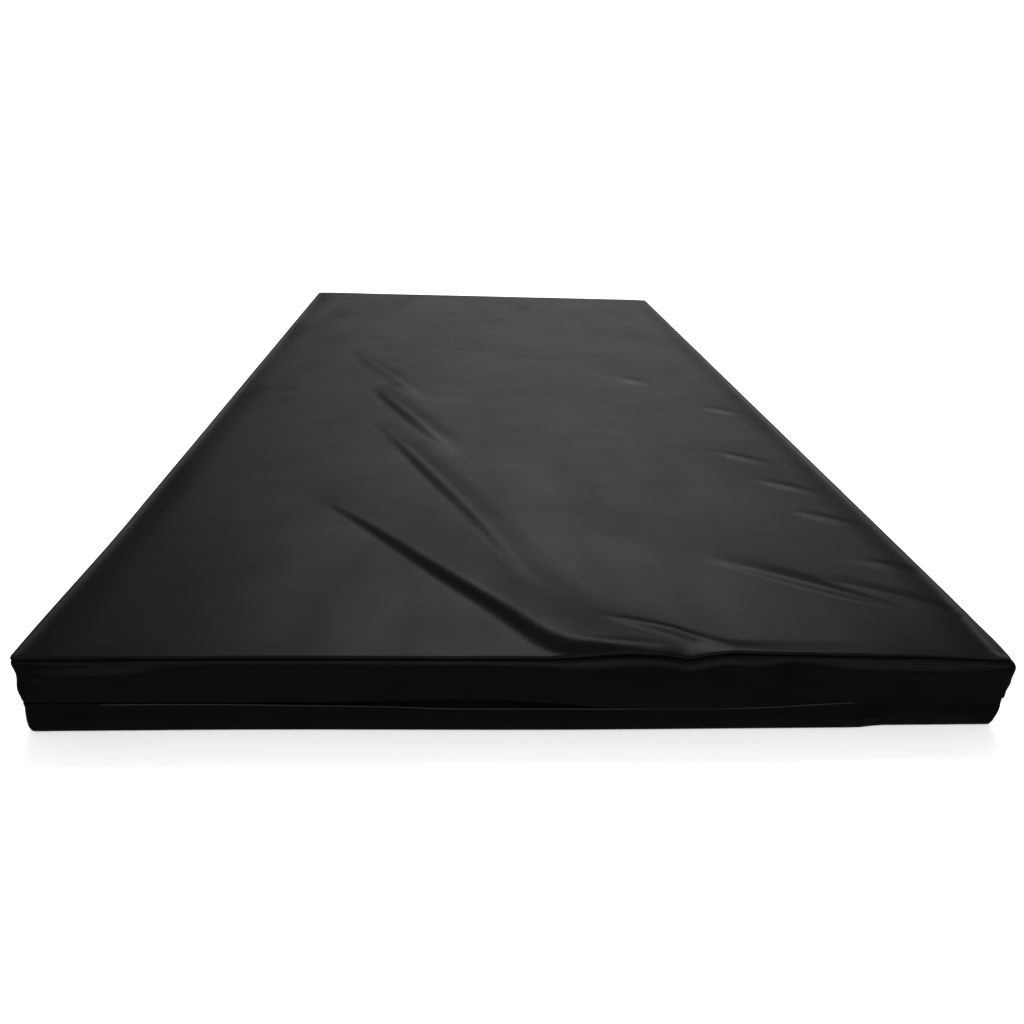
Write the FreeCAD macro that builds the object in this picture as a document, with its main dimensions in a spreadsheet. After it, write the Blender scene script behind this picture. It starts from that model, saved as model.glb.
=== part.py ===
"""Thin twin futon mattress: a foam and wadding pad in a sewn liner, inside a coated cover with a hidden zip.

Millimetres. The origin is on the underside's centre, with +X to the right, +Y to the head end and +Z up.
The cover is a top and a bottom panel joined by a border. Round the foot end and both long sides the border is
an upper and a lower strip, whose folded hems leave a narrow slit over the zip. Round the head end it is plain.
Depth means the distance inwards from the outline, which is the mattress seen from above.
"""
import FreeCAD, Part
import math
import os
import re
import Sketcher

SIZES = {
    # the whole mattress: a twin, 39 by 75 inches
    "width": 990, "length": 1905, "thickness": 88, "corner_radius": 20,
    # cover cloth, with panels that turn over the edge and meet the border in a seam
    "cloth": 0.8, "top_rim": 7, "top_roll": 5, "bottom_rim": 4, "bottom_roll": 3,
    # the slit between the two hems, and the seam where the strips meet the plain border
    "slit_height": 36, "slit_gap": 3.4, "hem": 14, "strip_end": 50,
    # zip tape: a leaf sewn behind the hem, a step inwards, and a leaf that carries the coil
    "tape": 0.5, "tape_reach": 15, "tape_step": 9, "tape_edge": 2.4, "tape_depth": 5.2,
    # coil, whose last stretch on the right spreads apart round the parked slider's wedge
    "coil": 1.8, "coil_reach": 3.1, "coil_play": 0.05, "coil_spread": 1.7, "coil_end": 70, "spread_end": 62.5,
    "stop": 2.5, "stop_reach": 3.6,
    # slider: an outer and an inner plate held apart by a wedge, with flanges that guide the coil
    "slider": 72, "slider_half": 8, "mouth_half": 6, "tail_half": 5, "plate": 1.2, "outer_plate": 1.9,
    "inner_plate": 6.1, "flange": 1.1, "flange_drop": 1.9, "wedge_tip": 3, "wedge_half": 1.1,
    # bridge that stands out through the slit and holds the pull
    "bridge_width": 2.4, "bridge_half": 6, "bridge_post": 1.8, "bridge_bar": 1.4, "bridge_rise": 3.7,
    # pull: a fork on a crossbar that turns under the bridge, with a flat grip
    "pull_pivot": 1.2, "pull_bar_radius": 0.8, "pull_plate": 1.4, "fork_half": 3.6, "window_half": 1.8,
    "window_end": 7, "neck_end": 12, "grip_half": 4.5, "pull_length": 30, "grip_round": 3,
    # pad: set back from the border to leave room for the zip
    "set_back": 9, "play": 0.2, "liner": 0.8, "wadding": 9,
}

doc = FreeCAD.newDocument("futon_mattress")


def cells(formula):
    """The formula with each size's name made into a reference to its cell."""
    return re.sub(r"[a-z_]+", lambda word: "Sizes." + word[0] if word[0] in SIZES else word[0], formula)


def fill_sheet():
    """One row for each driving size: its name, and its value in a cell with that name as its alias."""
    sheet = doc.addObject("Spreadsheet::Sheet", "Sizes")
    for row, (alias, value) in enumerate(SIZES.items(), 1):
        sheet.set(f"A{row}", alias)
        sheet.set(f"B{row}", str(value))
        sheet.setAlias(f"B{row}", alias)
    doc.recompute()


# ---------------------------------------------------------------- sketches

START, END, CENTRE = 1, 2, 3
ORIGIN = (-1, START)
INSET = 5    # how far inside the outline an inner line is first drawn, before its sizes are bound


def new_body(name):
    """An empty body, whose label names the sub-part."""
    body = doc.addObject("PartDesign::Body", name)
    body.Label = name
    return body


def new_sketch(body, plane, level):
    """An empty sketch in the body, parallel to one of its origin planes and level away from it."""
    sketch = body.newObject("Sketcher::SketchObject", f"{body.Name}_sketch")
    support = next(feature for feature in body.Origin.OriginFeatures if feature.Role == plane)
    sketch.AttachmentSupport = [(support, "")]
    sketch.MapMode = "FlatFace"
    sketch.setExpression("AttachmentOffset.Base.z", cells(level))
    return sketch


def fix_distance(sketch, kind, first, second, formula):
    """Hold the signed distance from the first point to the second at the formula's value."""
    gap = sketch.getPoint(*second) - sketch.getPoint(*first)
    now = gap.x if kind == "DistanceX" else gap.y
    index = sketch.addConstraint(Sketcher.Constraint(kind, *first, *second, now))
    sketch.setExpression(f"Constraints[{index}]", cells(formula))


def draw_line(sketch, start, end):
    """A line between two rough points."""
    return sketch.addGeometry(Part.LineSegment(start, end), False)


def draw_corner(sketch, right, head, inset):
    """A rounded corner of the outline; right and head are 1 or -1. Its long-side and short-side ends."""
    middle = SIZES["corner_radius"]
    centre = FreeCAD.Vector(right * (SIZES["width"] / 2 - middle), head * (SIZES["length"] / 2 - middle), 0)
    radius = middle - inset
    quadrant = {(1, 1): 0, (-1, 1): 1, (-1, -1): 2, (1, -1): 3}[right, head]
    circle = Part.Circle(centre, FreeCAD.Vector(0, 0, 1), radius)
    arc = sketch.addGeometry(Part.ArcOfCircle(circle, quadrant * math.pi / 2, (quadrant + 1) * math.pi / 2), False)
    ends = ((arc, START), (arc, END))
    return ends if right * head > 0 else ends[::-1]


def join_corners(sketch, first, second, direction):
    """A straight side, Horizontal or Vertical, that runs smoothly from one corner's end to another's."""
    side = draw_line(sketch, sketch.getPoint(*first), sketch.getPoint(*second))
    sketch.addConstraint(Sketcher.Constraint("Tangent", *first, side, START))
    sketch.addConstraint(Sketcher.Constraint("Tangent", *second, side, END))
    sketch.addConstraint(Sketcher.Constraint(direction, side))
    return side


def size_corners(sketch, arcs, depth):
    """Give all the arcs the radius that the outline's corner has at this depth."""
    radius = sketch.addConstraint(Sketcher.Constraint("Radius", arcs[0], SIZES["corner_radius"]))
    sketch.setExpression(f"Constraints[{radius}]", cells(f"corner_radius - ({depth})"))
    for arc in arcs[1:]:
        sketch.addConstraint(Sketcher.Constraint("Equal", arcs[0], arc))


def draw_outline(sketch, depth, inset=0):
    """The whole outline at a depth: four straight sides and four rounded corners."""
    corners = {(right, head): draw_corner(sketch, right, head, inset) for right in (-1, 1) for head in (-1, 1)}
    for right in (-1, 1):
        side = join_corners(sketch, corners[right, -1][0], corners[right, 1][0], "Vertical")
        fix_distance(sketch, "DistanceX", ORIGIN, (side, START), f"{right} * (width / 2 - ({depth}))")
    for head in (-1, 1):
        side = join_corners(sketch, corners[-1, head][1], corners[1, head][1], "Horizontal")
        fix_distance(sketch, "DistanceY", ORIGIN, (side, START), f"{head} * (length / 2 - ({depth}))")
    size_corners(sketch, [ends[0][0] for ends in corners.values()], depth)


def draw_run(sketch, depth, head, stops, inset=0):
    """The outline at a depth, round one end of the mattress only.

    head is 1 for the head end and -1 for the foot end. Each long side stops at its own distance from the head
    end, left then right. Returns the run's two free ends.
    """
    corners = {right: draw_corner(sketch, right, head, inset) for right in (-1, 1)}
    front = join_corners(sketch, corners[-1][1], corners[1][1], "Horizontal")
    fix_distance(sketch, "DistanceY", ORIGIN, (front, START), f"{head} * (length / 2 - ({depth}))")
    size_corners(sketch, [corners[-1][0][0], corners[1][0][0]], depth)
    free = []
    for right, stop in zip((-1, 1), stops):
        corner = sketch.getPoint(*corners[right][0])
        side = draw_line(sketch, corner, FreeCAD.Vector(corner.x, SIZES["length"] / 2 - SIZES["strip_end"], 0))
        sketch.addConstraint(Sketcher.Constraint("Tangent", *corners[right][0], side, START))
        sketch.addConstraint(Sketcher.Constraint("Vertical", side))
        fix_distance(sketch, "DistanceX", ORIGIN, (side, START), f"{right} * (width / 2 - ({depth}))")
        fix_distance(sketch, "DistanceY", ORIGIN, (side, END), f"length / 2 - ({stop})")
        free.append((side, END))
    return free


def draw_polygon(sketch, points):
    """A closed polygon, with both coordinates of each corner given by a formula."""
    count = len(points)
    rough = [FreeCAD.Vector(math.cos(2 * math.pi * i / count), math.sin(2 * math.pi * i / count), 0)
             for i in range(count)]
    sides = [draw_line(sketch, rough[i], rough[(i + 1) % count]) for i in range(count)]
    for i, (across, up) in enumerate(points):
        sketch.addConstraint(Sketcher.Constraint("Coincident", sides[i - 1], END, sides[i], START))
        fix_distance(sketch, "DistanceX", ORIGIN, (sides[i], START), across)
        fix_distance(sketch, "DistanceY", ORIGIN, (sides[i], START), up)


# ---------------------------------------------------------------- solids

def pad(body, sketch, length):
    """Raise the sketch along its normal."""
    feature = body.newObject("PartDesign::Pad", f"{body.Name}_pad")
    feature.Profile = sketch
    feature.setExpression("Length", cells(length))
    sketch.Visibility = False
    return feature


def round_edges(body, radius, chosen):
    """Round the edges of the body so far for which chosen(edge) is true."""
    doc.recompute()
    tip = body.Tip
    names = [f"Edge{i}" for i, edge in enumerate(tip.Shape.Edges, 1) if chosen(edge)]
    fillet = body.newObject("PartDesign::Fillet", f"{body.Name}_fillet")
    fillet.Base = (tip, names)
    fillet.setExpression("Radius", cells(radius))


def slab(body, depth, low, height):
    """A flat layer over the whole outline at a depth."""
    sketch = new_sketch(body, "XY_Plane", low)
    draw_outline(sketch, depth)
    return pad(body, sketch, height)


def ring(body, near, far, low, height):
    """An upright wall round the whole outline, between two depths."""
    sketch = new_sketch(body, "XY_Plane", low)
    draw_outline(sketch, near)
    draw_outline(sketch, far, INSET)
    return pad(body, sketch, height)


def wall(body, near, far, low, height, head=-1, stops=("strip_end", "strip_end")):
    """An upright wall round one end of the outline, between two depths."""
    sketch = new_sketch(body, "XY_Plane", low)
    outer = draw_run(sketch, near, head, stops)
    inner = draw_run(sketch, far, head, stops, INSET)
    for outer_end, inner_end in zip(outer, inner):
        across = draw_line(sketch, sketch.getPoint(*outer_end), sketch.getPoint(*inner_end))
        sketch.addConstraint(Sketcher.Constraint("Coincident", *outer_end, across, START))
        sketch.addConstraint(Sketcher.Constraint("Coincident", *inner_end, across, END))
    return pad(body, sketch, height)


def right_side_plate(body, points, near, far):
    """A plate of the given outline in Y and Z, between two depths in from the right-hand side."""
    sketch = new_sketch(body, "YZ_Plane", f"width / 2 - ({far})")
    draw_polygon(sketch, points)
    return pad(body, sketch, f"({far}) - ({near})")


def level_edges(height):
    """A test for edges that lie level at a height."""
    def lies_level(edge):
        box = edge.BoundBox
        return abs(box.ZMin - height) < 1e-6 and abs(box.ZMax - height) < 1e-6
    return lies_level


# ---------------------------------------------------------------- cover

def make_panel(name, rim, roll, low, outer_height, removed):
    """A cover panel: a tray whose rim turns over the edge with a soft roll. removed is its open side's height."""
    body = new_body(name)
    slab(body, "0", low, rim)
    round_edges(body, roll, level_edges(outer_height))
    doc.recompute()
    tip = body.Tip
    open_side = next(f"Face{i}" for i, face in enumerate(tip.Shape.Faces, 1)
                     if abs(face.BoundBox.ZMin - removed) + abs(face.BoundBox.ZMax - removed) < 1e-6)
    shell = body.newObject("PartDesign::Thickness", f"{name}_shell")
    shell.Base = (tip, [open_side])
    shell.setExpression("Value", cells("cloth"))
    shell.Reversed = True
    return body


def make_cover():
    """Panels, the two strips with their hems doubled behind the slit, and the plain border at the head end."""
    thickness = SIZES["thickness"]
    make_panel("top_panel", "top_rim", "top_roll", "thickness - top_rim", thickness, thickness - SIZES["top_rim"])
    make_panel("bottom_panel", "bottom_rim", "bottom_roll", "0", 0, SIZES["bottom_rim"])

    upper = new_body("upper_border")
    wall(upper, "0", "cloth", "slit_height + slit_gap / 2", "thickness - top_rim - slit_height - slit_gap / 2")
    wall(upper, "cloth", "2 * cloth", "slit_height + slit_gap / 2", "hem")

    lower = new_body("lower_border")
    wall(lower, "0", "cloth", "bottom_rim", "slit_height - slit_gap / 2 - bottom_rim")
    wall(lower, "cloth", "2 * cloth", "slit_height - slit_gap / 2 - hem", "hem")

    head = new_body("head_border")
    wall(head, "0", "cloth", "bottom_rim", "thickness - top_rim - bottom_rim", head=1)


# ---------------------------------------------------------------- zip

def make_tape_and_coil(side, up):
    """One half of the zip. up is 1 above the slit and -1 below it."""
    def low_edge(near, far):
        """The lower of two heights that lie near and far from the slit's middle."""
        return f"slit_height + ({near})" if up > 0 else f"slit_height - ({far})"

    tape = new_body(f"zip_tape_{side}")
    wall(tape, "2 * cloth", "2 * cloth + tape", low_edge("tape_step", "tape_reach"), "tape_reach - tape_step")
    wall(tape, "2 * cloth", "tape_depth + tape", low_edge("tape_step - tape", "tape_step"), "tape")
    wall(tape, "tape_depth", "tape_depth + tape", low_edge("tape_edge", "tape_step - tape"),
         "tape_step - tape - tape_edge")

    coil = new_body(f"zip_coil_{side}")
    wall(coil, "tape_depth - coil", "tape_depth", low_edge("coil_play", "coil_reach"), "coil_reach - coil_play",
         stops=("coil_end", "coil_end"))
    closed, spread = "length / 2 - coil_end", "length / 2 - spread_end"
    right_side_plate(coil, [
        (closed, f"slit_height + {up} * coil_play"),
        (spread, f"slit_height + {up} * (coil_play + coil_spread)"),
        (spread, f"slit_height + {up} * (coil_reach + coil_spread)"),
        (closed, f"slit_height + {up} * coil_reach"),
    ], "tape_depth - coil", "tape_depth")

    stop = new_body(f"zip_end_stop_{side}")
    right_side_plate(stop, [
        (spread, f"slit_height + {up} * coil_spread"),
        (f"{spread} + stop", f"slit_height + {up} * coil_spread"),
        (f"{spread} + stop", f"slit_height + {up} * (coil_reach + coil_spread)"),
        (spread, f"slit_height + {up} * (coil_reach + coil_spread)"),
    ], "tape_depth - coil", "tape_depth")


def make_start_stop():
    """The stop that holds the two halves together where the zip starts, at the head end of the left side."""
    body = new_body("zip_start_stop")
    sketch = new_sketch(body, "YZ_Plane", "tape_depth - coil - width / 2")
    start = "length / 2 - coil_end"
    draw_polygon(sketch, [
        (start, "slit_height - stop_reach"),
        (f"{start} + stop", "slit_height - stop_reach"),
        (f"{start} + stop", "slit_height + stop_reach"),
        (start, "slit_height + stop_reach"),
    ])
    pad(body, sketch, "coil")


def make_slider():
    """The slider, parked at the zip's end on the right, with its mouth towards the head end."""
    body = new_body("zip_slider")
    middle = "length / 2 - slider"
    tail, mouth = f"{middle} - slider_half", f"{middle} + slider_half"
    plan = [
        (tail, "slit_height - tail_half"),
        (mouth, "slit_height - mouth_half"),
        (mouth, "slit_height + mouth_half"),
        (tail, "slit_height + tail_half"),
    ]
    right_side_plate(body, plan, "outer_plate", "outer_plate + plate")
    for up in (-1, 1):
        right_side_plate(body, [
            (tail, f"slit_height + {up} * tail_half"),
            (mouth, f"slit_height + {up} * mouth_half"),
            (mouth, f"slit_height + {up} * (mouth_half - flange)"),
            (tail, f"slit_height + {up} * (tail_half - flange)"),
        ], "outer_plate + plate", "outer_plate + plate + flange_drop")
    right_side_plate(body, [
        (f"{middle} + wedge_tip", "slit_height"),
        (mouth, "slit_height - wedge_half"),
        (mouth, "slit_height + wedge_half"),
    ], "outer_plate + plate", "inner_plate")
    right_side_plate(body, plan, "inner_plate", "inner_plate + plate")
    bridge = new_sketch(body, "XY_Plane", "slit_height - bridge_width / 2")
    foot, top = "width / 2 - outer_plate", "width / 2 + bridge_rise"
    front, back = f"{middle} - bridge_half", f"{middle} + bridge_half"
    under = f"{top} - bridge_bar"
    draw_polygon(bridge, [
        (foot, front), (top, front), (top, back), (foot, back),
        (foot, f"{back} - bridge_post"), (under, f"{back} - bridge_post"),
        (under, f"{front} + bridge_post"), (foot, f"{front} + bridge_post"),
    ])
    pad(body, bridge, "bridge_width")


def make_pull():
    """The pull, lying flat along the closed zip with its crossbar under the slider's bridge."""
    body = new_body("zip_pull")
    pivot = "length / 2 - slider"
    right_side_plate(body, [
        (pivot, "slit_height - fork_half"),
        (f"{pivot} - neck_end", "slit_height - fork_half"),
        (f"{pivot} - neck_end - grip_half", "slit_height - grip_half"),
        (f"{pivot} - pull_length", "slit_height - grip_half"),
        (f"{pivot} - pull_length", "slit_height + grip_half"),
        (f"{pivot} - neck_end - grip_half", "slit_height + grip_half"),
        (f"{pivot} - neck_end", "slit_height + fork_half"),
        (pivot, "slit_height + fork_half"),
        (pivot, "slit_height + window_half"),
        (f"{pivot} - window_end", "slit_height + window_half"),
        (f"{pivot} - window_end", "slit_height - window_half"),
        (pivot, "slit_height - window_half"),
    ], "0 - pull_pivot - pull_plate / 2", "0 - pull_pivot + pull_plate / 2")
    tip_y = SIZES["length"] / 2 - SIZES["slider"] - SIZES["pull_length"]
    round_edges(body, "grip_round", lambda edge: abs(edge.BoundBox.YMax - tip_y) < 1e-6
                and abs(edge.BoundBox.XLength - SIZES["pull_plate"]) < 1e-6)
    bar = new_sketch(body, "XY_Plane", "slit_height - fork_half")
    circle = bar.addGeometry(Part.Circle(FreeCAD.Vector(), FreeCAD.Vector(0, 0, 1), 1), False)
    radius = bar.addConstraint(Sketcher.Constraint("Radius", circle, 1))
    bar.setExpression(f"Constraints[{radius}]", cells("pull_bar_radius"))
    fix_distance(bar, "DistanceX", ORIGIN, (circle, CENTRE), "width / 2 + pull_pivot")
    fix_distance(bar, "DistanceY", ORIGIN, (circle, CENTRE), pivot)
    pad(body, bar, "2 * fork_half")


# ---------------------------------------------------------------- pad

def make_pad():
    """Foam with a layer of wadding above and below, in a liner of two panels and a border."""
    below = "cloth + play"
    above = "thickness - cloth - play"
    inside = "set_back + liner + play"
    slab(new_body("liner_bottom"), "set_back", below, "liner")
    slab(new_body("batting_bottom"), inside, f"{below} + liner", "wadding")
    slab(new_body("foam_core"), inside, f"{below} + liner + wadding",
         f"{above} - ({below}) - 2 * liner - 2 * wadding")
    slab(new_body("batting_top"), inside, f"{above} - liner - wadding", "wadding")
    slab(new_body("liner_top"), "set_back", f"{above} - liner", "liner")
    ring(new_body("liner_border"), "set_back", "set_back + liner", f"{below} + liner",
         f"{above} - ({below}) - 2 * liner")


# ---------------------------------------------------------------- build, check and write

def bodies():
    """Every body of the model, one for each node of the record."""
    return [item for item in doc.Objects if item.isDerivedFrom("PartDesign::Body")]


def check_model():
    """Stop at any object that failed, and at any body without one valid solid."""
    for item in doc.Objects:
        if "Invalid" in item.State or "Error" in item.State:
            raise RuntimeError(f"{item.Name} failed: {item.State}")
    for body in bodies():
        if body.Shape.isNull() or not body.Shape.isValid() or len(body.Shape.Solids) != 1:
            raise RuntimeError(f"{body.Label} isn't one valid solid")


fill_sheet()
make_cover()
for side, up in (("upper", 1), ("lower", -1)):
    make_tape_and_coil(side, up)
make_start_stop()
make_slider()
make_pull()
make_pad()
doc.recompute()
check_model()
os.makedirs("parts", exist_ok=True)
for body in bodies():
    body.Shape.exportStep(f"parts/{body.Label}.step")
    box = body.Shape.BoundBox
    print(f"{body.Label:22s} x {box.XMin:8.2f} {box.XMax:8.2f}  y {box.YMin:8.2f} {box.YMax:8.2f}"
          f"  z {box.ZMin:6.2f} {box.ZMax:6.2f}  volume {body.Shape.Volume / 1000:10.2f} cm3")
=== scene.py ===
"""Looks of the thin black futon mattress: a loose coated cover with a hidden zip, over its pad.

Metres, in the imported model's frame: +X right, +Y to the head end, +Z up, origin under the middle.
Depth is the distance inwards from the outline, which is the mattress seen from above.
"""
import bpy
import math
import numpy as np
from collections import namedtuple
from mathutils import Matrix, Vector


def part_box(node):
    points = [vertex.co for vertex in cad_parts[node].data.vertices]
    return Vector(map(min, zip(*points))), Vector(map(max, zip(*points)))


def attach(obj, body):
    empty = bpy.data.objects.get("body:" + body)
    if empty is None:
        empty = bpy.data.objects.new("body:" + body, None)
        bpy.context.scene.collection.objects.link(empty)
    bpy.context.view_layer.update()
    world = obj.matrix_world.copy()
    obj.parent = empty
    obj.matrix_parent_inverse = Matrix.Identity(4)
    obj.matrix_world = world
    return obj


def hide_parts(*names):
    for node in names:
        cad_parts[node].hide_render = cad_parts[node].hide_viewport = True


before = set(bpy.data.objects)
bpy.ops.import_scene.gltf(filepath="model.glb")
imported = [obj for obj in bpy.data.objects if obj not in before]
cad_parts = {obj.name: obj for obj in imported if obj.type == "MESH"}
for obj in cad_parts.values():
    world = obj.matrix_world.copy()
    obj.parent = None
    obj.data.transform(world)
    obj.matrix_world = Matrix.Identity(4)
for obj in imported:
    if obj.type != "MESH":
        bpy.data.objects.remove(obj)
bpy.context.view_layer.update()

# ---------------------------------------------------------------- places read from the frame

HALF_WIDTH, HALF_LENGTH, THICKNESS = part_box("top_panel")[1]
TOP_SEAM = THICKNESS - 0.0032                # drawn up by the loose panel
BOTTOM_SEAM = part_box("bottom_panel")[1].z
SLIT_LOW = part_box("lower_border")[1].z
SLIT_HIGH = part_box("upper_border")[0].z
STRIP_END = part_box("upper_border")[1].y      # where the two strips meet the head border
CORNER = 0.007                               # radius of the outline's corners, sharper than in the CAD
CLOTH = 0.0008                               # thickness of the coated cloth
TOP_TURN, BOTTOM_TURN = 0.007, 0.004         # how far each panel turns over the edge, to its seam


# ---------------------------------------------------------------- helpers

def mm(value):
    """Millimetres in metres."""
    return value / 1000


def ease(low, high, value):
    """0 below low, 1 above high, and smooth between them."""
    t = np.clip((value - low) / (high - low), 0, 1)
    return t * t * (3 - 2 * t)


def bump(value, centre, reach):
    """A soft hump of height 1 at the centre, which is 0 beyond its reach."""
    t = np.clip(np.abs(value - centre) / reach, 0, 1)
    return (1 - t * t) ** 2


def waves(x, y, length, seed):
    """Even but irregular undulation between about -1 and 1, with waves of about the given length."""
    count = 7
    random = np.random.default_rng(seed)
    total = np.zeros(np.broadcast(x, y).shape)
    for _ in range(count):
        heading = random.uniform(0, 2 * math.pi)
        pace = 2 * math.pi / (length * random.uniform(0.7, 1.5))
        start = random.uniform(0, 2 * math.pi)
        total += np.sin(pace * (x * math.cos(heading) + y * math.sin(heading)) + start)
    return total / math.sqrt(count)


def curve_through(points, count):
    """Evenly numbered points on a smooth Catmull-Rom curve through rows of numbers."""
    rows = np.array(points, float)
    rows = np.vstack([2 * rows[0] - rows[1], rows, 2 * rows[-1] - rows[-2]])
    spans = len(points) - 1
    t = np.linspace(0, spans, count)
    i = np.minimum(t.astype(int), spans - 1)
    u = (t - i)[:, None]
    a, b, c, d = rows[i], rows[i + 1], rows[i + 2], rows[i + 3]
    return 0.5 * (2 * b + (c - a) * u + (2 * a - 5 * b + 4 * c - d) * u**2 + (3 * b - a - 3 * c + d) * u**3)


TURNED_OVER = [0, 3, 2, 1]     # a face's corners in the order that turns it over


def quads(first, second, closed=True):
    """Faces between rows of vertex indices and the rows after them, whose ends join if they are closed."""
    faces = np.stack([first, second, np.roll(second, -1, axis=-1), np.roll(first, -1, axis=-1)], axis=-1)
    if not closed:
        faces = faces[..., :-1, :]
    return faces.reshape(-1, 4)


def numbered(*shape):
    """Vertex indices in a grid of the given shape."""
    return np.arange(math.prod(shape)).reshape(shape)


def make_object(name, vertices, faces, material):
    """A smooth-shaded object from lists or arrays of vertices and faces."""
    mesh = bpy.data.meshes.new(name)
    mesh.from_pydata([tuple(v) for v in vertices], [], [tuple(f) for f in faces])
    mesh.validate()
    mesh.update()
    mesh.polygons.foreach_set("use_smooth", [True] * len(mesh.polygons))
    piece = bpy.data.objects.new(name, mesh)
    bpy.context.scene.collection.objects.link(piece)
    piece.data.materials.append(material)
    return piece


def apply_modifiers(piece):
    """Turn the piece's modifiers into plain mesh."""
    bpy.context.view_layer.update()
    graph = bpy.context.evaluated_depsgraph_get()
    mesh = bpy.data.meshes.new_from_object(piece.evaluated_get(graph))
    piece.modifiers.clear()
    piece.data = mesh
    return piece


def thicken(piece, thickness):
    """Give a surface its cloth's thickness, inwards from its outer face."""
    solid = piece.modifiers.new("thickness", "SOLIDIFY")
    solid.thickness = thickness
    solid.offset = -1
    solid.use_even_offset = False
    return apply_modifiers(piece)


# ---------------------------------------------------------------- materials

def new_material(name, color, roughness, specular=0.5):
    """A material, with its node tree and its shader."""
    material = bpy.data.materials.new(name)
    material.use_nodes = True
    shader = material.node_tree.nodes["Principled BSDF"]
    shader.inputs["Base Color"].default_value = (*color, 1)
    shader.inputs["Roughness"].default_value = roughness
    shader.inputs["Specular IOR Level"].default_value = specular
    return material, material.node_tree, shader


def node(tree, kind, **settings):
    """A new node, with values for its inputs or its own settings."""
    made = tree.nodes.new(kind)
    for key, value in settings.items():
        if key in made.inputs:
            made.inputs[key].default_value = value
        else:
            setattr(made, key, value)
    return made


def noise(tree, scale, detail=3.0, stretch=(1, 1, 1)):
    """A noise texture in object space, in features of about 1 / scale metres."""
    place = node(tree, "ShaderNodeTexCoord")
    mapping = node(tree, "ShaderNodeMapping")
    mapping.inputs["Scale"].default_value = stretch
    texture = node(tree, "ShaderNodeTexNoise", Scale=scale, Detail=detail)
    tree.links.new(place.outputs["Object"], mapping.inputs["Vector"])
    tree.links.new(mapping.outputs["Vector"], texture.inputs["Vector"])
    return texture.outputs["Fac"]


NOISE = (0.3, 0.7)     # most of a noise texture's values lie between these


def map_range(tree, value, source, target, interpolation="LINEAR"):
    """The value carried from one (low, high) range to another, and held at its ends."""
    carried = node(tree, "ShaderNodeMapRange", interpolation_type=interpolation)
    for key, number in zip(("From Min", "From Max", "To Min", "To Max"), (*source, *target)):
        carried.inputs[key].default_value = number
    tree.links.new(value, carried.inputs["Value"])
    return carried.outputs["Result"]


def add_bump(tree, shader, layers):
    """Stack bumps, each a (height socket, depth in metres) pair, from coarse to fine."""
    normal = None
    for height, depth in layers:
        relief = node(tree, "ShaderNodeBump", Strength=1.0, Distance=depth)
        tree.links.new(height, relief.inputs["Height"])
        if normal is not None:
            tree.links.new(normal, relief.inputs["Normal"])
        normal = relief.outputs["Normal"]
    tree.links.new(normal, shader.inputs["Normal"])


def coated_cloth():
    """Black coated cloth: a low satin sheen with a fine grain, softly mottled in gloss and colour."""
    material, tree, shader = new_material("coated_cloth", (0.002, 0.002, 0.002), 0.5)
    shader.inputs["IOR"].default_value = 1.075
    mottle = noise(tree, 13, 4, stretch=(1, 0.4, 1))
    colour = node(tree, "ShaderNodeMix", data_type="RGBA")
    colour.inputs["A"].default_value = (0.0006, 0.0006, 0.0006, 1)
    colour.inputs["B"].default_value = (0.0013, 0.0013, 0.0014, 1)
    tree.links.new(mottle, colour.inputs["Factor"])
    tree.links.new(colour.outputs["Result"], shader.inputs["Base Color"])
    tree.links.new(map_range(tree, mottle, NOISE, (0.44, 0.33)), shader.inputs["Roughness"])
    cells = node(tree, "ShaderNodeTexVoronoi", Scale=900)
    place = node(tree, "ShaderNodeTexCoord")
    tree.links.new(place.outputs["Object"], cells.inputs["Vector"])
    slack, dimples = noise(tree, 14, 2, stretch=(1, 0.4, 1)), noise(tree, 60, 3)
    add_bump(tree, shader, [(slack, mm(0.3)), (dimples, mm(0.10)), (cells.outputs["Distance"], mm(0.05))])
    return material


def lip_highlight_cloth():
    """The same cloth with a paler base colour in patches: a painted highlight along the lower hem's folded
    lip.
    """
    material = COVER.copy()
    material.name = "coated_cloth_painted_highlight"
    tree = material.node_tree
    colour = next(item for item in tree.nodes if item.bl_idname == "ShaderNodeMix")
    # The paler colours are a painted highlight on the lip, mottled in patches.
    colour.inputs["A"].default_value = (0.002, 0.002, 0.002, 1)
    colour.inputs["B"].default_value = (0.016, 0.016, 0.016, 1)
    return material


WAVE_THREADS = 6.3     # threads in a metre of a wave texture of scale 1, with two threads to a wave


def woven_cloth(name, color, gloss=0.2, pitch=0.0011):
    """Plain woven cloth, with threads that cross in object space."""
    material, tree, shader = new_material(name, color, 0.9, specular=gloss)
    place = node(tree, "ShaderNodeTexCoord")
    heights = []
    for direction in ("X", "Y"):
        wave = node(tree, "ShaderNodeTexWave", Scale=1 / pitch / WAVE_THREADS, bands_direction=direction)
        tree.links.new(place.outputs["Object"], wave.inputs["Vector"])
        heights.append(wave.outputs["Fac"])
    weave = node(tree, "ShaderNodeMath", operation="MAXIMUM")
    tree.links.new(heights[0], weave.inputs[0])
    tree.links.new(heights[1], weave.inputs[1])
    add_bump(tree, shader, [(weave.outputs["Value"], mm(0.12))])
    shade = node(tree, "ShaderNodeMix", data_type="RGBA")
    shade.inputs["A"].default_value = tuple(c * 0.8 for c in color) + (1,)
    shade.inputs["B"].default_value = (*color, 1)
    tree.links.new(noise(tree, 30), shade.inputs["Factor"])
    tree.links.new(shade.outputs["Result"], shader.inputs["Base Color"])
    return material


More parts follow.
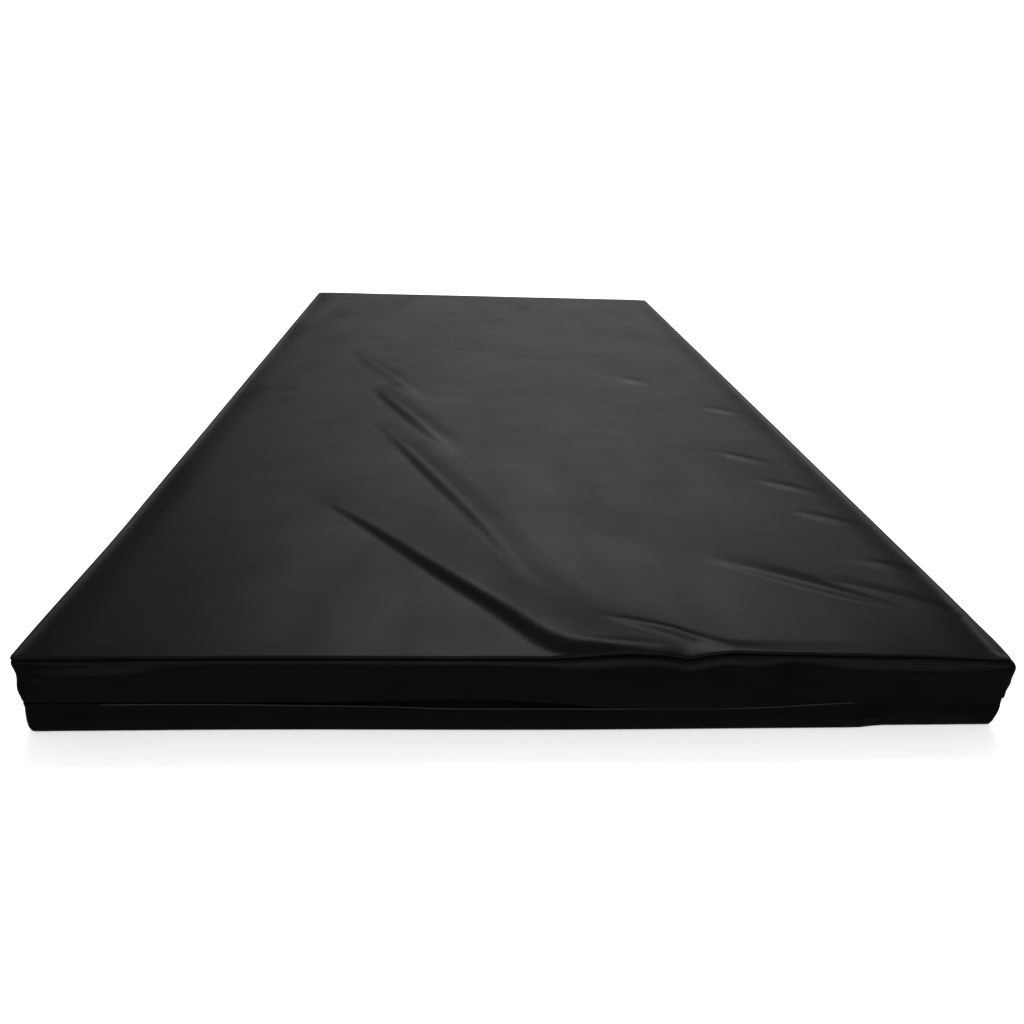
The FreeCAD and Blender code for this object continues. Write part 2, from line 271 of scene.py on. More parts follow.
def foamy(name, color, cell, depth):
    """Foam or wadding: matt, with small open cells or tufts."""
    material, tree, shader = new_material(name, color, 0.95, specular=0.15)
    cells = node(tree, "ShaderNodeTexVoronoi", Scale=1 / cell)
    place = node(tree, "ShaderNodeTexCoord")
    tree.links.new(place.outputs["Object"], cells.inputs["Vector"])
    shade = node(tree, "ShaderNodeMix", data_type="RGBA")
    shade.inputs["A"].default_value = tuple(c * 0.72 for c in color) + (1,)
    shade.inputs["B"].default_value = (*color, 1)
    tree.links.new(cells.outputs["Distance"], shade.inputs["Factor"])
    tree.links.new(shade.outputs["Result"], shader.inputs["Base Color"])
    add_bump(tree, shader, [(noise(tree, 40), mm(0.5)), (cells.outputs["Distance"], depth)])
    return material


def enamel():
    """Black enamelled metal of the slider, pull and stops, with a little wear in its gloss."""
    material, tree, shader = new_material("black_enamel", (0.012, 0.012, 0.013), 0.3)
    tree.links.new(map_range(tree, noise(tree, 600, 4), NOISE, (0.24, 0.42)), shader.inputs["Roughness"])
    add_bump(tree, shader, [(noise(tree, 1500, 2), mm(0.01))])
    return material


def nylon():
    """Black nylon of the coil, and of the sewing thread."""
    material, tree, shader = new_material("black_nylon", (0.0015, 0.0015, 0.0015), 0.45, specular=0.02)
    tree.links.new(map_range(tree, noise(tree, 900, 2), NOISE, (0.4, 0.55)), shader.inputs["Roughness"])
    return material


COVER = coated_cloth()
# The cover's cloth with a painted highlight, for the lip of the lower hem.
COVER_LIP_HIGHLIGHT = lip_highlight_cloth()
TAPE = woven_cloth("tape_weave", (0.001, 0.001, 0.001), gloss=0.02, pitch=0.0006)
NYLON = nylon()
ENAMEL = enamel()
LINER = woven_cloth("liner_weave", (0.02, 0.02, 0.022))
WADDING = foamy("wadding_tufts", (0.85, 0.84, 0.80), 0.006, mm(0.8))
FOAM = foamy("foam_cells", (0.80, 0.76, 0.55), 0.0016, mm(0.35))


# ---------------------------------------------------------------- the outline

Run = namedtuple("Run", "points normals along")


def run_round(head):
    """Stations along the outline round one end of the mattress: points, outward normals and distances along.

    head is 1 for the head end and -1 for the foot end. The run goes from the left side to the right side, and
    distance is counted from the middle of the end that it goes round. It stops where the borders join.
    """
    step, corner_steps = mm(5), 14
    straight_y = head * (HALF_LENGTH - CORNER)
    side_count = max(2, round(abs(STRIP_END - straight_y) / step))
    end_count = round(2 * (HALF_WIDTH - CORNER) / step)
    turn = np.linspace(0, math.pi / 2, corner_steps + 1)[1:-1]
    left_y = np.linspace(STRIP_END, straight_y, side_count + 1)
    points = [(-HALF_WIDTH, y) for y in left_y]
    normals = [(-1.0, 0.0)] * len(left_y)
    for a in turn:
        points.append((-HALF_WIDTH + CORNER * (1 - math.cos(a)), straight_y + head * CORNER * math.sin(a)))
        normals.append((-math.cos(a), head * math.sin(a)))
    for x in np.linspace(-HALF_WIDTH + CORNER, HALF_WIDTH - CORNER, end_count + 1):
        points.append((x, head * HALF_LENGTH))
        normals.append((0.0, head))
    for a in turn:
        points.append((HALF_WIDTH - CORNER * (1 - math.sin(a)), straight_y + head * CORNER * math.cos(a)))
        normals.append((math.sin(a), head * math.cos(a)))
    points += [(HALF_WIDTH, y) for y in left_y[::-1]]
    normals += [(1.0, 0.0)] * len(left_y)
    points, normals = np.array(points), np.array(normals)
    distance = np.concatenate([[0], np.cumsum(np.linalg.norm(np.diff(points, axis=0), axis=1))])
    return Run(points, normals, distance - distance[-1] / 2)


def loft(name, run, depth, height, material, closed=False, capped=False):
    """A surface along a run, from arrays of depth and height with a row for each station of the run."""
    x = run.points[:, :1] - run.normals[:, :1] * depth
    y = run.points[:, 1:] - run.normals[:, 1:] * depth
    vertices = tug_foot_end(np.stack([x, y, height], axis=-1).reshape(-1, 3))
    index = numbered(*depth.shape)
    faces = quads(index[:-1], index[1:], closed)[:, TURNED_OVER].tolist()
    if capped:
        faces += [index[0].tolist(), index[-1, ::-1].tolist()]
    return make_object(name, vertices, faces, material)


# ---------------------------------------------------------------- folds of the loose top panel

# Each fold is the line of its crest, as rows of x and y in metres, its height in millimetres and the width
# of its steep side in metres, followed by the width of its gentle side. The steep side is on the right of the
# way that the rows go.
FOLDS = (
    ([(-0.285, -0.545, 0.0, 0.007), (-0.186, -0.660, 4.4, 0.011), (-0.104, -0.764, 7.0, 0.015),
      (-0.026, -0.860, 8.8, 0.018), (0.028, -0.926, 9.6, 0.022), (0.066, -0.941, 8.6, 0.016),
      (0.108, -0.953, 6.0, 0.014), (0.157, -0.966, 2.5, 0.010)], 0.110),
    ([(-0.215, -0.25, 0.0, 0.008), (-0.16, -0.37, 4.4, 0.013), (-0.108, -0.49, 6.0, 0.016),
      (-0.052, -0.625, 4.6, 0.014), (0.0, -0.765, 2.4, 0.010), (0.03, -0.83, 0.0, 0.008)], 0.045),
    ([(-0.24, -0.03, 0.0, 0.008), (-0.19, -0.14, 5.4, 0.018), (-0.130, -0.275, 5.4, 0.018),
      (-0.07, -0.41, 0.0, 0.009)], 0.045),
    ([(-0.32, 0.27, 0.0, 0.008), (-0.26, 0.14, 4.4, 0.020), (-0.20, 0.02, 4.4, 0.020),
      (-0.14, -0.12, 0.0, 0.009)], 0.035),
    ([(0.22, -0.742, 0.0, 0.006), (0.30, -0.792, 2.8, 0.009), (0.37, -0.833, 2.8, 0.009),
      (0.42, -0.858, 0.0, 0.006)], 0.035),
    ([(0.35, -0.79, 0.0, 0.006), (0.41, -0.828, 2.4, 0.008), (0.48, -0.87, 1.2, 0.008)], 0.028),
    ([(0.075, -0.880, 0.0, 0.006), (0.14, -0.907, 3.8, 0.009), (0.177, -0.928, 2.6, 0.008),
      (0.211, -0.940, 0.0, 0.006)], 0.016),
    ([(0.25, 0.07, 0.0, 0.010), (0.285, 0.04, 2.0, 0.014), (0.32, 0.01, 0.0, 0.010)], 0.030),
    ([(0.38, -0.128, 0.0, 0.010), (0.415, -0.155, 2.2, 0.013), (0.45, -0.18, 0.0, 0.010)], 0.030),
    ([(0.34, -0.37, 0.0, 0.008), (0.38, -0.40, 2.0, 0.010), (0.425, -0.43, 0.0, 0.008)], 0.022),
    ([(0.37, -0.49, 0.0, 0.008), (0.415, -0.52, 2.0, 0.010), (0.455, -0.545, 0.0, 0.008)], 0.022),
    ([(0.385, -0.60, 0.0, 0.008), (0.43, -0.63, 2.0, 0.010), (0.47, -0.65, 0.0, 0.008)], 0.022),
    ([(0.41, -0.748, 0.0, 0.007), (0.45, -0.765, 2.0, 0.009), (0.485, -0.775, 0.4, 0.008)], 0.022),
)


def nearest_on(path, x, y):
    """Each point's distance from a path, its place in steps along it, and if it is on the left."""
    along = np.diff(path, axis=0)
    x, y = x[:, None], y[:, None]
    share = ((x - path[:-1, 0]) * along[:, 0] + (y - path[:-1, 1]) * along[:, 1]) / (along**2).sum(1)
    share = np.clip(share, 0, 1)
    gap_x = x - path[:-1, 0] - share * along[:, 0]
    gap_y = y - path[:-1, 1] - share * along[:, 1]
    step = np.argmin(gap_x**2 + gap_y**2, axis=1)
    row = np.arange(len(step))
    gap_x, gap_y = gap_x[row, step], gap_y[row, step]
    on_left = along[step, 0] * gap_y - along[step, 1] * gap_x > 0
    return np.hypot(gap_x, gap_y), step + share[row, step], on_left


def fold_height(x, y, rows, gentle):
    """Height that one fold adds at each point: full at its crest, with a steep and a gentle side."""
    path = curve_through(rows, 90)
    reach = gentle + 0.02
    near = ((x > path[:, 0].min() - reach) & (x < path[:, 0].max() + reach)
            & (y > path[:, 1].min() - reach) & (y < path[:, 1].max() + reach))
    distance, place, on_left = nearest_on(path[:, :2], x[near], y[near])
    steps = np.arange(len(path))
    lift = np.interp(place, steps, path[:, 2])
    fall = distance / np.interp(place, steps, path[:, 3])
    steep_side = 1 - 0.3 * ease(0.0, 1.0, fall) - 0.7 * np.clip(fall, 0, 1)
    valley = -0.05 * bump(fall, 1.25, 0.8)
    gentle_side = (1 - ease(-0.12, 1.0, distance / gentle)) / (1 - ease(-0.12, 1.0, 0))
    added = np.zeros(x.shape)
    added[near] = mm(lift) * np.where(on_left, gentle_side, steep_side + valley)
    return added


def top_relief(x, y):
    """Height of the top panel's surface over its flat level, away from its turned edge.

    It falls towards both long sides, and more at the right front corner.
    """
    side = HALF_WIDTH - np.abs(x)
    crown = -mm(2.4) * (1 - ease(0, 0.06, side)) ** 1.5
    crown = crown - mm(4.0) * ease(0.34, HALF_WIDTH, x) * ease(-0.80, -HALF_LENGTH, y)
    folds = sum(fold_height(x, y, rows, gentle) for rows, gentle in FOLDS)
    rolling = mm(0.6) * waves(x, y, 0.30, 3) + mm(0.10) * waves(x * 0.7, y, 0.09, 5)
    inwards = np.minimum(side, HALF_LENGTH - np.abs(y))
    return crown + folds + rolling * (0.3 + 0.7 * ease(0.0, 0.06, inwards))


# ---------------------------------------------------------------- the cover's panels

EDGE = mm(20)          # width of the band along a panel's edge that has its own, closer stations


def edge_stations(half, steps):
    """Stations across a panel: close together in the turned edge, then spaced as (up to, step) pairs say."""
    edge = np.array([0, 0.3, 0.8, 1.5, 2.4, 3.6, 5.2, 7.5, 11, 16]) / 1000
    inner = half - EDGE
    blocks = [-half + edge]
    start = -inner
    for end, step in steps:
        count = round((end - start) / step)
        blocks.append(np.linspace(start, end, count, endpoint=False))
        start = end
    return np.concatenate(blocks + [[inner], half - edge[::-1]])


def panel_grid(steps_x, steps_y):
    """A grid over the whole outline, bent round its corners. Returns x, y and depth arrays."""
    across, lengthways = edge_stations(HALF_WIDTH, steps_x), edge_stations(HALF_LENGTH, steps_y)
    gx, gy = np.meshgrid(across, lengthways, indexing="ij")
    u = (np.abs(gx) - (HALF_WIDTH - CORNER)) / CORNER
    v = (np.abs(gy) - (HALF_LENGTH - CORNER)) / CORNER
    depth = np.minimum(HALF_WIDTH - np.abs(gx), HALF_LENGTH - np.abs(gy))
    bent = (u > 0) & (v > 0)
    far = np.where(bent, np.maximum(u, v), 1)
    angle = np.where(u >= v, v / far, 2 - u / far) * math.pi / 4
    x = np.where(bent, np.sign(gx) * (HALF_WIDTH - CORNER + CORNER * far * np.cos(angle)), gx)
    y = np.where(bent, np.sign(gy) * (HALF_LENGTH - CORNER + CORNER * far * np.sin(angle)), gy)
    return x, y, depth


def edge_order(index):
    """A grid's outer indices, in order round it."""
    return np.concatenate([index[:, 0], index[-1, 1:], index[-2::-1, -1], index[0, -2:0:-1]])


# How far the top seam stands above its level along the foot end: x in metres, then millimetres.
SEAM_RISE = (
    (-0.50, 0.0), (-0.367, 0.9), (-0.225, 0.7), (-0.08, -0.4), (0.0, -0.6), (0.034, -0.6), (0.066, 1.8),
    (0.098, 3.6), (0.131, 2.4), (0.160, -2.6), (0.180, 2.2), (0.204, 5.2), (0.271, 3.2), (0.355, 0.9),
    (0.429, -0.4), (0.50, -1.6),
)

# The right side stays flat as far forward as this y, because the zip's pull passes there.
PULL_PATH_END = -0.9475


def tug_foot_end(vertices):
    """Draw the cover outwards at its foot end, where it is full, and most of all at the two corners."""
    x, y, z = vertices.T
    upper = ease(0.040, 0.086, z)
    lower = 1 - ease(0.015, 0.050, z)
    foot = ease(-0.937, -HALF_LENGTH, y)
    left_corner = ease(-0.42, -HALF_WIDTH, x) * ease(-0.66, -HALF_LENGTH, y)
    right_corner = ease(0.42, HALF_WIDTH, x) * ease(PULL_PATH_END, -HALF_LENGTH, y)
    rise = np.array(SEAM_RISE)
    leftwards = mm(3.0) * (1 + 0.8 * upper) * left_corner
    rightwards = mm(0.8 + 6.0 * bump(z, 0.036, 0.030) + 3.0 * lower) * right_corner
    slack = mm(2.6) + mm(4.0) * upper * ease(0.40, 0.49, x)
    hanging = mm(5.0) * lower * ease(-0.35, 0.10, x) * (1 - 0.7 * ease(0.345, 0.375, x))
    at_seam = ease(0.052, 0.080, z) * ease(-0.925, -HALF_LENGTH, y)
    upwards = mm(np.interp(x, rise[:, 0], rise[:, 1])) * at_seam
    return np.column_stack([x + rightwards - leftwards, y - foot * slack - foot * hanging, z + upwards])


def outward_at(points):
    """Outward directions of points on the outline."""
    half = np.array([HALF_WIDTH, HALF_LENGTH]) - CORNER
    away = points - np.clip(points, -half, half)
    return away / np.linalg.norm(away, axis=1)[:, None]


def make_panel(name, grid, height, tucks, turned_over=False):
    """A cover panel from its grid and heights.

    tucks are (depth, height) pairs of its edge inside the seam.
    """
    x, y, _ = grid
    vertices = np.stack([x, y, height], axis=-1).reshape(-1, 3)
    index = numbered(*x.shape)
    ring = edge_order(index)
    edge = vertices[ring]
    outward = outward_at(edge[:, :2])
    blocks = [vertices]
    bands = [quads(index[:-1], index[1:], closed=False)]
    previous = ring
    for depth, level in tucks:
        made = np.arange(len(ring)) + sum(len(block) for block in blocks)
        blocks.append(np.column_stack([edge[:, :2] - outward * depth, np.full(len(ring), level)]))
        bands.append(quads(previous, made))
        previous = made
    faces = np.concatenate(bands)
    if turned_over:
        faces = faces[:, ::-1]
    return thicken(make_object(name, tug_foot_end(np.concatenate(blocks)), faces.tolist(), COVER), CLOTH)


def rolled(radius, depth):
    """How far a surface has rolled away from its level at each depth, on a quarter round at its edge."""
    return radius - np.sqrt(radius**2 - np.maximum(radius - depth, 0) ** 2)


def make_top():
    """The loose top panel: fine rows where it is folded, and a soft roll down into the seam."""
    lengthways = [(-0.60, mm(3.6)), (0.0, mm(7)), (HALF_LENGTH - EDGE, mm(15))]
    grid = panel_grid([(HALF_WIDTH - EDGE, mm(6))], lengthways)
    x, y, depth = grid
    height = THICKNESS + top_relief(x, y) * ease(-0.004, 0.012, depth) - rolled(mm(2.6), depth)
    tucks = ((mm(0.5), TOP_SEAM + mm(0.2)), (mm(2.4), TOP_SEAM - mm(0.6)))
    return make_panel("cover_top", grid, height, tucks)


def make_bottom():
    """The flat panel that the mattress lies on, rolled up a little into its seam."""
    grid = panel_grid([(HALF_WIDTH - EDGE, mm(14))], [(HALF_LENGTH - EDGE, mm(14))])
    height = rolled(mm(2.4), grid[2])
    tucks = ((mm(0.3), BOTTOM_SEAM - mm(0.9)), (mm(1.6), BOTTOM_SEAM - mm(0.6)))
    return make_panel("cover_bottom", grid, height, tucks, turned_over=True)


# ---------------------------------------------------------------- the cover's border strips

def point_at(run, distance, depth, height):
    """Points at distances along a run, at a depth and height, before the foot end is tugged."""
    place, normal = (np.stack([np.interp(distance, run.along, pair[:, k]) for k in (0, 1)], axis=-1)
                     for pair in (run.points, run.normals))
    normal /= np.linalg.norm(normal, axis=1)[:, None]
    return np.column_stack([place - normal * depth[:, None], height])


def make_stitches(name, run, depth, height):
    """A row of lockstitches along a run, whose surface is at the given depths and heights.

    Each stitch is a short thread that lies on the cloth and dips into it at both ends.
    """
    pitch, length, radius, sides = mm(4.2), mm(3.4), mm(0.22), 5
    start = mm(4) - run.along[-1]
    count = int(-2 * start / pitch)
    starts = start + np.arange(count) * pitch
    distance = (starts[:, None] + np.array([0.0, 0.12, 0.5, 0.88, 1.0]) * length).ravel()
    sunk = mm(np.tile([0.55, 0.05, -0.12, 0.05, 0.55], count))
    depth = np.interp(distance, run.along, depth) + sunk
    height = np.interp(distance, run.along, height)
    turn = np.arange(sides) * 2 * math.pi / sides
    rings = np.stack([point_at(run, distance, depth + radius * math.cos(a), height + radius * math.sin(a))
                      for a in turn], axis=1)
    index = numbered(count, 5, sides)
    faces = quads(index[:, :-1], index[:, 1:])[:, TURNED_OVER].tolist()
    faces += index[:, 0, ::-1].tolist() + index[:, -1].tolist()
    stitches = make_object(name, tug_foot_end(rings.reshape(-1, 3)), faces, NYLON)
    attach(stitches, "mattress")


# How the slit wanders along the foot end: distance from its middle in metres, then in millimetres how far it
# hangs below its level at the sides, how wide it stands open, and how far its lower lip stands out.
SLIT_LINE = (
    (-0.60, 0.0, 3.4, 0.2), (-0.53, 0.0, 3.2, 0.2), (-0.47, 1.0, 2.4, 0.6), (-0.40, 1.6, 1.9, 0.8),
    (-0.32, 2.4, 1.0, 0.9), (-0.24, 3.0, 1.9, 1.4), (-0.15, 3.2, 4.0, 2.0), (-0.09, 2.2, 9.6, 2.6),
    (-0.04, 2.4, 10.0, 2.6), (0.02, 4.6, 6.0, 2.4), (0.08, 7.2, 1.8, 2.2), (0.17, 8.2, 1.0, 2.2),
    (0.24, 7.4, 1.0, 1.9), (0.31, 4.5, 1.3, 1.0), (0.38, 2.0, 1.6, 0.4), (0.44, 2.4, 1.8, 0.3),
    (0.478, 2.8, 2.0, 0.2), (0.494, 0.6, 3.3, 0.0), (0.506, 0.0, 3.4, 0.0), (0.54, 0.0, 3.4, 0.2),
    (0.60, 0.0, 3.4, 0.2),
)

# How broad the upper strip's shoulder is, from 0 to 1, at each distance along the foot end.
SHOULDER = (
    (-0.60, 0.0), (-0.53, 0.1), (-0.47, 0.3), (-0.40, 0.35), (-0.34, 0.1), (-0.20, 0.0), (-0.08, 0.1),
    (0.02, 0.5), (0.10, 0.9), (0.17, 1.0), (0.23, 0.7), (0.28, 0.4), (0.36, 0.6), (0.44, 0.8), (0.52, 0.8),
    (0.60, 0.8),
)

# Soft ridges on the two strips, as FOLDS has them, in distance along the foot end and height in metres.
UPPER_RIDGES = (
    ([(0.195, 0.078, 0.0, 0.005), (0.225, 0.072, 3.4, 0.007), (0.265, 0.059, 3.6, 0.008),
      (0.30, 0.050, 0.0, 0.006)], 0.018),
    ([(0.02, 0.074, 0.0, 0.020), (0.09, 0.062, 3.4, 0.024), (0.15, 0.058, 3.0, 0.022),
      (0.20, 0.060, 0.0, 0.020)], 0.020),
    ([(-0.488, 0.071, 0.0, 0.012), (-0.462, 0.0705, 5.0, 0.016), (-0.42, 0.071, 5.0, 0.016),
      (-0.36, 0.072, 2.0, 0.012), (-0.30, 0.073, 0.0, 0.010)], 0.009),
    ([(0.27, 0.074, 0.0, 0.012), (0.34, 0.073, 3.0, 0.014), (0.42, 0.072, 3.0, 0.014),
      (0.487, 0.070, 0.0, 0.012)], 0.008),
)
LOWER_RIDGES = (
    ([(0.33, 0.006, 0.0, 0.006), (0.37, 0.017, 1.6, 0.008), (0.42, 0.021, 1.8, 0.009),
      (0.49, 0.012, 0.6, 0.006)], 0.014),
    ([(-0.42, 0.020, 0.0, 0.008), (-0.37, 0.016, 1.0, 0.008), (-0.31, 0.014, 0.0, 0.008)], 0.010),
)


def slit_along(distance):
    """The slit's drop, opening and lip at each distance along the foot end's run, in metres, as columns."""
    line = curve_through(SLIT_LINE, 400)
    return [mm(np.interp(distance, line[:, 0], line[:, k]))[:, None] for k in (1, 2, 3)]


def repeated(profile, count, run):
    """A profile in millimetres at every station, as arrays of depth and height with count columns."""
    smooth = mm(curve_through(profile, count))
    shape = (len(run.points), count)
    return np.broadcast_to(smooth[:, 0], shape).copy(), np.broadcast_to(smooth[:, 1], shape).copy()


def below_seam(seam):
    """How a border's profile starts: out of the top seam and down over a rounded shoulder."""
    return ((2.4, seam - 0.9), (1.0, seam - 0.7), (-0.5, seam - 1.2), (-2.0, seam - 2.8), (-3.1, seam - 5.6))


def ridge_height(distance, height, ridges):
    """How far soft ridges stand out of a strip, at each distance and height."""
    flat = np.broadcast_to(distance, height.shape)
    return sum(fold_height(flat, height, rows, gentle) for rows, gentle in ridges)


def ripple(along, share, low_wave, high_wave, seed):
    """Slack in a strip: long and short waves along it that change slowly with height."""
    return (mm(0.5) * waves(along, share * 0.04, low_wave, seed)
            + mm(0.25) * waves(along, share * 0.05, high_wave, seed + 1))


def paint_lip_highlight(strip, columns, highlighted, rows):
    """Give the faces in the given columns and rows of a lofted strip the paler cloth: a painted highlight."""
    strip.data.materials.append(COVER_LIP_HIGHLIGHT)
    for face in strip.data.polygons:
        row, column = divmod(face.index, columns - 1)
        face.material_index = int(column in highlighted and rows[row])


def make_upper_strip():
    """The upper strip: tucked into the top seam, rounded out below it, then drawn in to its folded hem.

    Its profile changes along the foot end from a narrow shoulder to a broad one. The last columns are the
    hem, turned up inside.
    """
    columns, hem_starts = 60, 44
    run = run_round(-1)
    along = run.along[:, None]
    seam, hem = TOP_SEAM * 1000, SLIT_HIGH * 1000
    narrow = repeated((
        *below_seam(seam),
        (-3.6, seam - 10), (-3.4, seam - 17), (-2.9, seam - 25), (-2.0, seam - 33), (-0.8, hem + 7),
        (-0.1, hem + 2), (0.2, hem + 0.5), (0.8, hem), (1.4, hem + 0.5), (1.6, hem + 2.5), (1.6, hem + 14),
    ), columns, run)
    broad = repeated((
        (2.4, seam - 0.9), (0.9, seam - 0.7), (-1.4, seam - 1.6), (-4.2, seam - 3.6), (-6.2, seam - 6.6),
        (-7.2, seam - 10), (-7.3, seam - 17), (-7.1, seam - 25), (-6.6, seam - 33), (-5.6, hem + 7),
        (-4.6, hem + 2), (-4.2, hem + 0.5), (-3.4, hem), (-2.2, hem + 0.5), (-1.2, hem + 2.5),
        (1.6, hem + 14),
    ), columns, run)
    shoulder = curve_through(SHOULDER, 200)
    breadth = np.interp(along, shoulder[:, 0], shoulder[:, 1]) * (1 - ease(0.494, 0.507, np.abs(along)))
    depth, height = ((1 - breadth) * narrow[k] + breadth * broad[k] for k in (0, 1))
    share = (height - SLIT_HIGH) / (TOP_SEAM - SLIT_HIGH)
    passed = ease(0.488, 0.497, along) * (1 - ease(0.12, 0.40, share))      # where the slider's pull passes
    depth = depth + (narrow[0] - depth) * passed

    outer = np.arange(columns) < hem_starts
    drop, gap, _ = slit_along(run.along)
    rise = (gap - (SLIT_HIGH - SLIT_LOW)) / 2
    out = bump(share, 0.55, 0.5) * outer * ripple(along, share, 0.17, 0.06, 11)
    out = out + outer * ridge_height(along, height, UPPER_RIDGES) * (1 - ease(0.86, 0.97, share))
    out = out - outer * mm(4.5) * bump(along, -HALF_WIDTH - mm(8), 0.045) * bump(share, 0.70, 0.45)
    out = out + outer * np.maximum(rise, 0) * 0.8 * (1 - ease(0.0, 0.5, share))
    depth = depth - out
    height = height + (rise - drop) * (1 - ease(0.0, 0.85, share))
    stitched = np.argmin(np.abs(height[0, :hem_starts] - SLIT_HIGH - mm(10)))
    make_stitches("stitches_upper", run, depth[:, stitched], height[:, stitched])
    return thicken(loft("cover_upper_strip", run, depth, height, COVER), CLOTH)


def make_lower_strip():
    """The lower strip: from its folded hem, whose lip catches the light and carries a painted highlight, down
    to the bottom seam.

    The first columns are the hem, turned down inside.
    """
    columns, hem_ends = 52, 13
    run = run_round(-1)
    along = run.along[:, None]
    hem, seam = SLIT_LOW * 1000, BOTTOM_SEAM * 1000 - 0.7
    depth, height = repeated((
        (1.6, hem - 14), (1.6, hem - 2.5), (1.4, hem - 0.5), (0.7, hem), (0.0, hem - 0.5), (-0.3, hem - 1.6),
        (-0.2, hem - 5), (-0.8, hem - 12), (-1.2, hem - 19), (-1.2, hem - 25), (-0.8, seam + 1.2),
        (0.2, seam + 0.2), (1.6, seam),
    ), columns, run)
    outer = np.arange(columns) > hem_ends
    share = (height - BOTTOM_SEAM) / (SLIT_LOW - BOTTOM_SEAM)
    out = bump(share, 0.45, 0.45) * outer * ripple(along, share, 0.14, 0.05, 21)
    out = out + outer * ridge_height(along, height, LOWER_RIDGES)
    drop, gap, lip = slit_along(run.along)
    rise = (SLIT_HIGH - SLIT_LOW - gap) / 2
    height = height + (rise - drop) * ease(0.1, 1.0, share)
    out = out + lip * ease(0.80, 1.0, share)
    depth = depth - out
    stitched = hem_ends + 1 + np.argmin(np.abs(height[0, hem_ends + 1:] - SLIT_LOW + mm(10)))
    make_stitches("stitches_lower", run, depth[:, stitched], height[:, stitched])
    strip = loft("cover_lower_strip", run, depth, height, COVER)
    # Where the lip stands out, its fold gets the paler cloth: a painted highlight.
    lip_columns = range(hem_ends - 1, hem_ends + 4)
    paint_lip_highlight(strip, columns, lip_columns, lip[:, 0] > mm(0.75))
    return thicken(strip, CLOTH)


def make_head_strip():
    """The plain border round the head end, rounded out between its two seams."""
    run = run_round(1)
    along = run.along[:, None]
    top, low = TOP_SEAM * 1000, BOTTOM_SEAM * 1000 - 0.7
    depth, height = repeated((
        *below_seam(top),
        (-3.6, top - 12), (-3.2, top - 26), (-2.2, top - 44), (-1.6, top - 60), (-1.2, low + 8),
        (-0.5, low + 1.6), (0.4, low + 0.3), (1.6, low),
    ), 48, run)
    share = (height - BOTTOM_SEAM) / (TOP_SEAM - BOTTOM_SEAM)
    out = bump(share, 0.5, 0.5) * mm(0.8) * waves(along, share * 0.06, 0.15, 31)
    return thicken(loft("cover_head_strip", run, depth - out, height, COVER), CLOTH)


def place_cover():
    """All pieces of the cover. A flat size adds what each piece turns into its seams and hems."""
    foot_run = run_round(-1).along[-1] * 2
    head_run = run_round(1).along[-1] * 2
    strip_height = TOP_SEAM - SLIT_HIGH
    for piece, cad, width, length in (
        (make_top(), "top_panel", 2 * (HALF_WIDTH + TOP_TURN), 2 * (HALF_LENGTH + TOP_TURN)),
        (make_bottom(), "bottom_panel", 2 * (HALF_WIDTH + BOTTOM_TURN), 2 * (HALF_LENGTH + BOTTOM_TURN)),
        (make_upper_strip(), "upper_border", strip_height + mm(20), foot_run),
        (make_lower_strip(), "lower_border", SLIT_LOW - BOTTOM_SEAM + mm(18), foot_run),
        (make_head_strip(), "head_border", TOP_SEAM - BOTTOM_SEAM + mm(8), head_run),
    ):
        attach(piece, "mattress")
        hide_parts(cad)


# ---------------------------------------------------------------- the zip behind the slit

ZIP_LEVEL = (SLIT_LOW + SLIT_HIGH) / 2
COIL_DEPTH = mm(4.3)         # of the coils' middle
COIL_PITCH = mm(1.9)


def tube(name, centres, radius, sides, material):
    """A round thread along a line of points."""
    ahead = np.gradient(centres, axis=0)
    ahead /= np.linalg.norm(ahead, axis=1)[:, None]
    across = np.cross(ahead, np.cross(ahead, (0.31, 0.27, 0.91)))
    across /= np.linalg.norm(across, axis=1)[:, None]
    other = np.cross(ahead, across)
    turn = np.arange(sides) * 2 * math.pi / sides
    rings = (centres[:, None] + radius * (np.cos(turn)[None, :, None] * across[:, None]
                                          + np.sin(turn)[None, :, None] * other[:, None]))
    index = numbered(len(centres), sides)
    faces = quads(index[:-1], index[1:])[:, TURNED_OVER].tolist()
    faces += [index[0, ::-1].tolist(), index[-1].tolist()]
    return make_object(name, tug_foot_end(rings.reshape(-1, 3)), faces, material)


def zip_level(distance):
    """The height of the zip's middle, which follows the slit, at each distance along the run."""
    return ZIP_LEVEL - slit_along(distance)[0][:, 0]


def make_tape(name, side):
    """One woven tape: a leaf sewn behind the hem, a step inwards, and a thicker edge with the coil on it."""
    run = run_round(-1)
    centre = curve_through([
        (1.95, 15.0), (1.95, 12.0), (1.98, 9.6), (2.4, 8.85), (3.4, 8.72), (4.7, 8.7), (5.35, 8.2),
        (5.45, 6.5), (5.45, 4.4), (5.4, 2.5),
    ], 26)
    half = 0.24 + 0.08 * ease(3.4, 2.6, centre[:, 1])
    ahead = np.gradient(centre, axis=0)
    ahead /= np.linalg.norm(ahead, axis=1)[:, None]
    normal = np.stack([-ahead[:, 1], ahead[:, 0]], axis=-1) * half[:, None]
    outline = mm(np.concatenate([centre + normal, (centre - normal)[::-1]]))
    height = zip_level(run.along)[:, None] + side * outline[:, 1]
    depth = np.broadcast_to(outline[:, 0], height.shape)
    tape = loft(name, run, depth, height, TAPE, closed=True, capped=True)
    return tape


